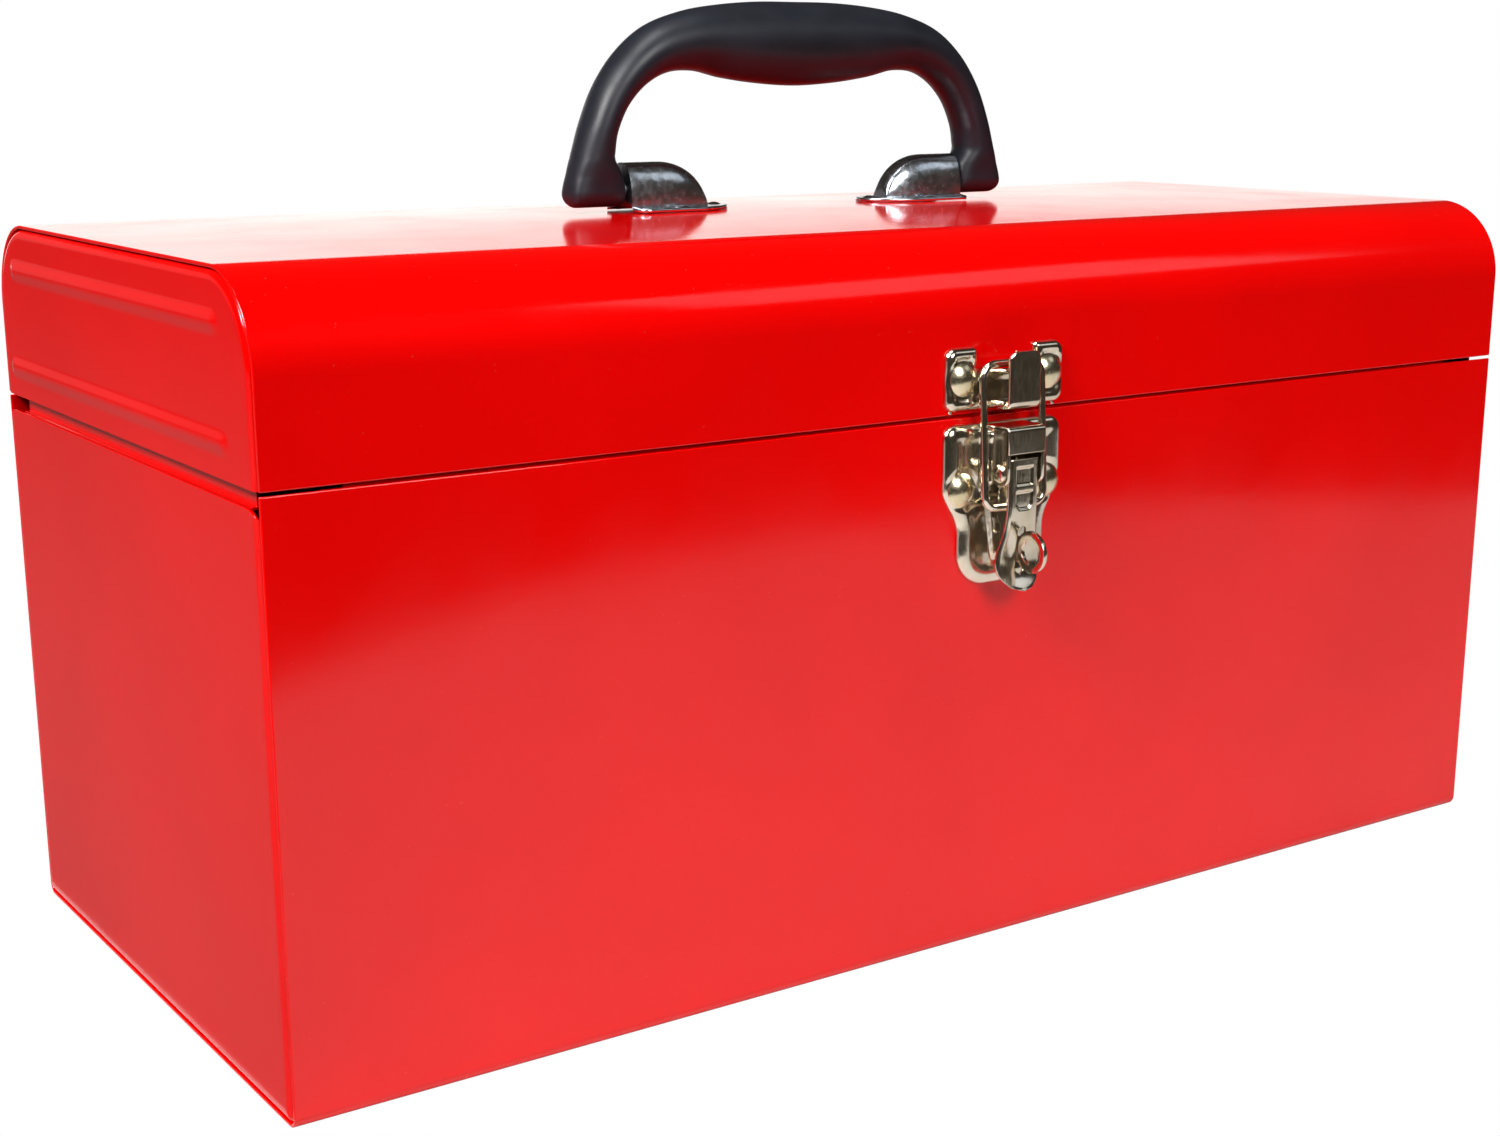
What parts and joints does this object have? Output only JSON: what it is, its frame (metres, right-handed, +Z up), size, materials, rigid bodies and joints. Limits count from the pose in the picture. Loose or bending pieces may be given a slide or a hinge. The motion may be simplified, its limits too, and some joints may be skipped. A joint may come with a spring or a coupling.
{
  "type": "steel tool box",
  "caption": "Rectangular enamelled steel carry box with a rear-hinged crowned lid, a folding moulded handle and a front draw latch with a padlock eye.",
  "frame": {"origin": "middle of the underside of the body, on the surface it stands on", "axes": "+X along the box to the right as seen from the latch side, -Y towards the latch (front), +Z up"},
  "size_m": [0.4026, 0.2036, 0.2501],
  "materials": {
    "red_enamel": "gloss powder coat",
    "latch_nickel": "bright nickel plate",
    "rivet_nickel": "satin nickel plate",
    "bracket_chrome": "bright chrome plate",
    "hinge_steel": "zinc plated",
    "grip_plastic": "satin moulded"
  },
  "bodies": {
    "body": {"body_wrap": "red_enamel", "body_end_left": "red_enamel", "body_end_right": "red_enamel", "body_front_lip": "red_enamel", "hinge_leaf_body": "hinge_steel", "hinge_pin": "hinge_steel", "hinge_rivets_body": "hinge_steel", "latch_base_plate": "latch_nickel", "latch_base_rivets": "rivet_nickel", "latch_foot_rivet": "rivet_nickel", "latch_pivot_pin": "latch_nickel", "latch_padlock_eye": "latch_nickel"},
    "lid": {"lid_wrap": "red_enamel", "lid_end_left": "red_enamel", "lid_end_right": "red_enamel", "hinge_leaf_lid": "hinge_steel", "hinge_rivets_lid": "hinge_steel", "handle_bracket_left": "bracket_chrome", "handle_bracket_right": "bracket_chrome", "bracket_rivets": "bracket_chrome", "latch_strike": "latch_nickel", "strike_rivets": "rivet_nickel"},
    "handle": {"handle_grip": "grip_plastic", "handle_pins": "hinge_steel"},
    "lever": {"latch_lever": "latch_nickel"},
    "bail": {"latch_bail": "latch_nickel"}
  },
  "joints": [
    {"name": "lid_hinge", "type": "hinge", "parent": "body", "child": "lid", "pos_m": [0, 0.0926, 0.14565], "axis": [-1, 0, 0], "range_deg": [0, 108]},
    {"name": "handle_fold", "type": "hinge", "parent": "lid", "child": "handle", "pos_m": [0, 0, 0.2002], "axis": [1, 0, 0], "range_deg": [-80, 80]},
    {"name": "lever_swing", "type": "hinge", "parent": "body", "child": "lever", "pos_m": [0.003, -0.097, 0.131], "axis": [-1, 0, 0], "range_deg": [0, 115]},
    {"name": "bail_swing", "type": "hinge", "parent": "lever", "child": "bail", "pos_m": [0.003, -0.096, 0.122], "axis": [-1, 0, 0], "range_deg": [-98, 0]}
  ],
  "couplings": [
    {"joint": "bail_swing", "follows": "lever_swing", "ratio": -0.845}
  ]
}
